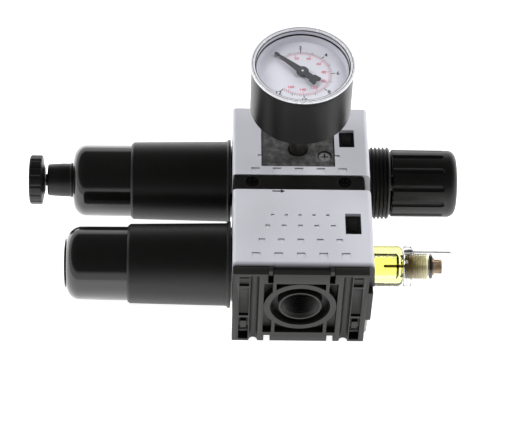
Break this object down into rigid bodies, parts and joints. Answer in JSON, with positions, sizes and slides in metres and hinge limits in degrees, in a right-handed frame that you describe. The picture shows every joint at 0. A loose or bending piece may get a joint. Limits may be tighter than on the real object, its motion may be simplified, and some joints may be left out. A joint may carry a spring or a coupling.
{
  "type": "pneumatic filter regulator lubricator",
  "caption": "Two-module compressed-air service unit: filter-regulator with gauge and knob, beside a lubricator with sight dome.",
  "frame": {"origin": "middle of the base, with the unit lying on its rear covers", "axes": "+X from the bowls to the adjusting knob, +Y from the lubricator to the filter-regulator, +Z out of the gauge dial"},
  "size_m": [0.212, 0.1046, 0.1124],
  "materials": {
    "silver_paint": "satin silver paint",
    "black_plastic": "matt moulded",
    "port_plastic": "matt moulded, dark grey",
    "grey_plastic": "matt moulded, light grey",
    "bowl_black": "gloss black lacquer on a metal bowl",
    "steel": "bright",
    "black_steel": "blackened",
    "zinc": "polished zinc",
    "brass": "turned",
    "rubber": "black, soft",
    "dial_paint": "pale enamel with printed scale",
    "pointer_paint": "dark grey",
    "clear_plastic": "clear, polished",
    "yellow_plastic": "clear yellow, polished",
    "filter_plastic": "porous"
  },
  "bodies": {
    "body": {"lubricator_front_cover": "silver_paint", "filter_regulator_front_cover": "silver_paint", "filter_regulator_housing": "black_plastic", "swirl_vane": "black_plastic", "baffle_disc": "black_plastic", "regulator_bonnet": "black_plastic", "bonnet_ring": "black_plastic", "valve_guide": "black_plastic", "coupling_strip_front": "black_plastic", "coupling_strip_rear": "black_plastic", "gauge_case": "black_plastic", "lubricator_housing": "port_plastic", "outlet_port_bush": "port_plastic", "inlet_port_bush": "port_plastic", "lubricator_rear_cover": "grey_plastic", "filter_regulator_rear_cover": "grey_plastic", "regulating_spring": "steel", "valve_spring": "steel", "plate_screw": "steel", "coupling_strip_front_screw_1": "black_steel", "coupling_strip_front_screw_2": "black_steel", "coupling_strip_rear_screw_1": "black_steel", "coupling_strip_rear_screw_2": "black_steel", "gauge_plate": "zinc", "gauge_stem": "brass", "gauge_movement": "brass", "bourdon_tube": "brass", "valve_seat": "brass", "venturi_ring": "brass", "drip_nozzle": "brass", "diaphragm": "rubber", "module_seal": "rubber", "gauge_dial": "dial_paint", "gauge_lens": "clear_plastic", "adjuster_guard": "clear_plastic", "siphon_tube": "clear_plastic", "sight_dome": "yellow_plastic", "filter_element": "filter_plastic", "siphon_strainer": "filter_plastic"},
    "filter_bowl_unit": {"filter_bowl_guard": "black_plastic", "filter_bowl": "bowl_black", "drain_neck": "black_plastic", "filter_bowl_seal": "rubber"},
    "drain_wheel": {"drain_wheel": "black_plastic"},
    "drain_stem": {"drain_valve_stem": "black_plastic"},
    "oil_bowl_unit": {"oil_bowl_guard": "black_plastic", "oil_bowl": "bowl_black", "oil_bowl_disc": "bowl_black", "oil_bowl_seal": "rubber"},
    "spindle": {"adjusting_spindle": "steel"},
    "knob": {"adjusting_knob": "black_plastic"},
    "spring_nut": {"spring_nut": "steel"},
    "diaphragm_plate": {"diaphragm_plate": "zinc"},
    "valve": {"valve_poppet": "brass"},
    "pointer": {"gauge_pointer": "pointer_paint"},
    "needle": {"drip_needle_screw": "brass", "needle_seal": "rubber"},
    "flap": {"venturi_flap": "rubber"},
    "lubricator_catch": {"lubricator_cover_catch": "black_plastic"},
    "filter_catch": {"filter_regulator_cover_catch": "black_plastic"}
  },
  "joints": [
    {"name": "filter_bowl_turn", "type": "hinge", "parent": "body", "child": "filter_bowl_unit", "pos_m": [-0.005, 0.0263, 0.0265], "axis": [1, 0, 0], "range_deg": [0, 45]},
    {"name": "oil_bowl_turn", "type": "hinge", "parent": "body", "child": "oil_bowl_unit", "pos_m": [-0.005, -0.0263, 0.0265], "axis": [1, 0, 0], "range_deg": [0, 45]},
    {"name": "drain_wheel_turn", "type": "hinge", "parent": "filter_bowl_unit", "child": "drain_wheel", "pos_m": [-0.1, 0.0263, 0.0265], "axis": [1, 0, 0], "range_deg": [0, 180]},
    {"name": "drain_stem_lift", "type": "slide", "parent": "filter_bowl_unit", "child": "drain_stem", "axis": [1, 0, 0], "range_m": [0, 0.0015]},
    {"name": "knob_turn", "type": "hinge", "parent": "body", "child": "spindle", "pos_m": [0.07, 0.0263, 0.0265], "axis": [1, 0, 0], "range_deg": [-1440, 0]},
    {"name": "knob_pull", "type": "slide", "parent": "spindle", "child": "knob", "axis": [1, 0, 0], "range_m": [0, 0.0025]},
    {"name": "spring_nut_travel", "type": "slide", "parent": "body", "child": "spring_nut", "axis": [1, 0, 0], "range_m": [-0.006, 0], "deforming": ["regulating_spring"]},
    {"name": "diaphragm_travel", "type": "slide", "parent": "body", "child": "diaphragm_plate", "axis": [1, 0, 0], "range_m": [-0.001, 0], "stiffness_N_per_m": 2000, "deforming": ["diaphragm"]},
    {"name": "valve_lift", "type": "slide", "parent": "body", "child": "valve", "axis": [1, 0, 0], "range_m": [-0.001, 0], "deforming": ["valve_spring"]},
    {"name": "pointer_turn", "type": "hinge", "parent": "body", "child": "pointer", "pos_m": [0.0267, 0.0263, 0.107], "axis": [0, 0, 1], "range_deg": [-270, 0], "stiffness_Nm_per_rad": 0.001},
    {"name": "drip_screw_turn", "type": "hinge", "parent": "body", "child": "needle", "pos_m": [0.08, -0.0263, 0.0265], "axis": [1, 0, 0], "range_deg": [0, 540]},
    {"name": "flap_swing", "type": "hinge", "parent": "body", "child": "flap", "pos_m": [0.0272, -0.0163, 0.0321], "axis": [1, 0, 0], "range_deg": [-60, 0], "stiffness_Nm_per_rad": 0.0005},
    {"name": "lubricator_catch_press", "type": "slide", "parent": "body", "child": "lubricator_catch", "axis": [0, 0, -1], "range_m": [0, 0.001], "stiffness_N_per_m": 1500},
    {"name": "filter_catch_press", "type": "slide", "parent": "body", "child": "filter_catch", "axis": [0, 0, -1], "range_m": [0, 0.001], "stiffness_N_per_m": 1500}
  ],
  "couplings": [
    {"joint": "drain_stem_lift", "follows": "drain_wheel_turn", "m_per_rad": 0.00047746},
    {"joint": "spring_nut_travel", "follows": "knob_turn", "m_per_rad": 0.00023873},
    {"joint": "valve_lift", "follows": "diaphragm_travel", "ratio": 1}
  ]
}
